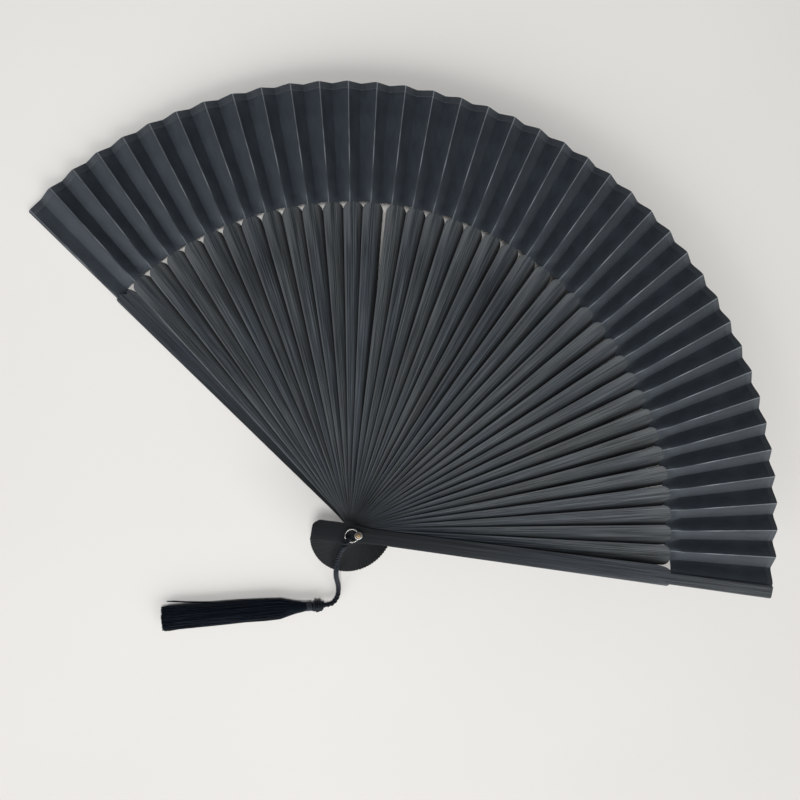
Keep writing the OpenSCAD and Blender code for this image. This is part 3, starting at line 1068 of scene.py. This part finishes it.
def makeMetal():
    top, pin = stack["top"] + metal["collarHeight"], metal["pin"]
    foot, footTop = metal["foot"], metal["footFrom"] + metal["footHeight"]
    low = metal["footFrom"]
    outline = [(0, low), (foot * 0.7, low), (foot * 0.94, low + 0.07 * mm),
               (foot, low + 0.18 * mm), (foot * 0.96, footTop), (pin, footTop),
               (pin, top - 0.2 * mm), (pin * 0.93, top - 0.05 * mm), (pin * 0.75, top + 0.06 * mm),
               (pin * 0.45, top + 0.1 * mm), (pin * 0.2, top + 0.06 * mm), (0, top + 0.03 * mm)]
    pinPiece = turned("rivetPin", outline)
    pinPiece.data.materials.append(metalMaterial("pinBrass", (0.62, 0.45, 0.26), 0.34, 0.2))
    addPiece(pinPiece, "tassel", "pin", "pin")

    base, inner, outer = stack["top"] + 0.05 * mm, pin + 0.03 * mm, metal["collar"]
    outline = [(inner, base), (outer, base), (outer + 0.02 * mm, base + 0.2 * mm),
               (outer, top - 0.35 * mm), (outer - 0.1 * mm, top - 0.1 * mm),
               (outer - 0.3 * mm, top), (inner + 0.12 * mm, top), (inner, top - 0.12 * mm)]
    collarPiece = turned("pinCollar", outline, True)
    collarPiece.data.materials.append(metalMaterial("collarSteel", (0.62, 0.62, 0.60), 0.28, 0.15))
    addPiece(collarPiece, "tassel", "collar", "pin_collar")

    base, outer = footTop + 0.02 * mm, metal["washer"]
    high = base + metal["washerHeight"]
    outline = [(inner, base), (outer - 0.1 * mm, base), (outer, base + 0.1 * mm),
               (outer, high - 0.1 * mm), (outer - 0.1 * mm, high), (inner, high)]
    washerPiece = turned("footWasher", outline, True)
    washerPiece.data.materials.append(collarPiece.data.materials[0])
    addPiece(washerPiece, "tassel", "collar", "foot_washer")
    for piece in (pinPiece, collarPiece, washerPiece):
        shadeByAngle(piece, 40)

    gap = metal["ringOpening"]
    start = metal["ringStart"]
    path = [ringPoint(start + gap / 2 + (math.tau - gap) * k / 64, metal["ring"]) for k in range(65)]
    ringPiece = sweep("splitRing", [path], metal["wire"], 3)
    ringPiece.data.materials.append(metalMaterial("ringChrome", (0.80, 0.79, 0.76), 0.14, 0.12))
    addPiece(ringPiece, "tassel", "ring", "ring")
    for piece in (pinPiece, collarPiece):
        cutChannel(piece)


# The ring runs in a cross channel through the collar and the pin's end.
def cutChannel(piece):
    path = [ringPoint(math.pi + math.radians(a), metal["ring"]) for a in range(-60, 61, 6)]
    cutter = sweep("channel", [path], metal["wire"] + metal["channelClear"], 3)
    applyModifier(piece, "BOOLEAN", operation="DIFFERENCE", object=cutter, solver="EXACT")
    bpy.data.objects.remove(cutter)
    shadeByAngle(piece, 40)


makeMetal()
print("metal fitted")

# Floor and light: pale table, a low window from the near side and a soft room.
studio = {
    "floorSize": 6.0,
    "floorDrop": 0.3 * mm,   # under the fan
    "floor": (0.728, 0.714, 0.694),
    "world": (0.93, 0.95, 1.0),
    "worldStrength": 0.13,
    "aim": (0, 0.08, 0),
    # each light's heading and height in degrees, distance, width and height, power, colour
    "lights": [
        ("window", 315, 31, 3.0, (3.9, 2.25), 74.0, (1.0, 0.98, 0.95)),
        ("sideWindow", 250, 25, 3.0, (1.95, 1.8), 38.0, (0.98, 0.99, 1.0)),
        ("overhead", 218, 82, 0.9, (0.16, 0.16), 4.2, (1.0, 1.0, 0.99)),
    ],
}


def makeStudio():
    deselect()
    bpy.ops.mesh.primitive_plane_add(size=studio["floorSize"], location=(0, 0, -studio["floorDrop"]))
    floor = bpy.context.object
    floor.name = "table"
    material = newMaterial("tableTop", Roughness=0.7, Specular_IOR_Level=0.3)
    spot = addNode(material, "TexCoord").outputs["Object"]
    cloudy = noiseOf(material, spot, 5, 3, 0.5)
    pale = tuple(c * 1.04 for c in studio["floor"])
    toShader(material, "Base Color", ramp(material, cloudy, studio["floor"], pale, 0.3, 0.7))
    floor.data.materials.append(material)
    world = bpy.data.worlds.new("room")
    world.use_nodes = True
    world.node_tree.nodes["Background"].inputs["Color"].default_value = (*studio["world"], 1)
    world.node_tree.nodes["Background"].inputs["Strength"].default_value = studio["worldStrength"]
    bpy.context.scene.world = world
    centre = Vector(studio["aim"])
    for name, heading, height, distance, size, power, colour in studio["lights"]:
        light = bpy.data.lights.new(name, "AREA")
        light.shape, light.size, light.size_y = "RECTANGLE", *size
        light.energy, light.color = power, colour
        lamp = bpy.data.objects.new(name, light)
        bpy.context.scene.collection.objects.link(lamp)
        a, e = math.radians(heading), math.radians(height)
        away = Vector((math.cos(a) * math.cos(e), math.sin(a) * math.cos(e), math.sin(e)))
        lamp.visible_glossy = name != "overhead"   # it only brightens what lies open to it
        lamp.location = centre + away * distance
        lamp.rotation_euler = (-away).to_track_quat("-Z", "Y").to_euler()
    bpy.context.scene.view_settings.view_transform = "Standard"


makeStudio()
print("studio lit")
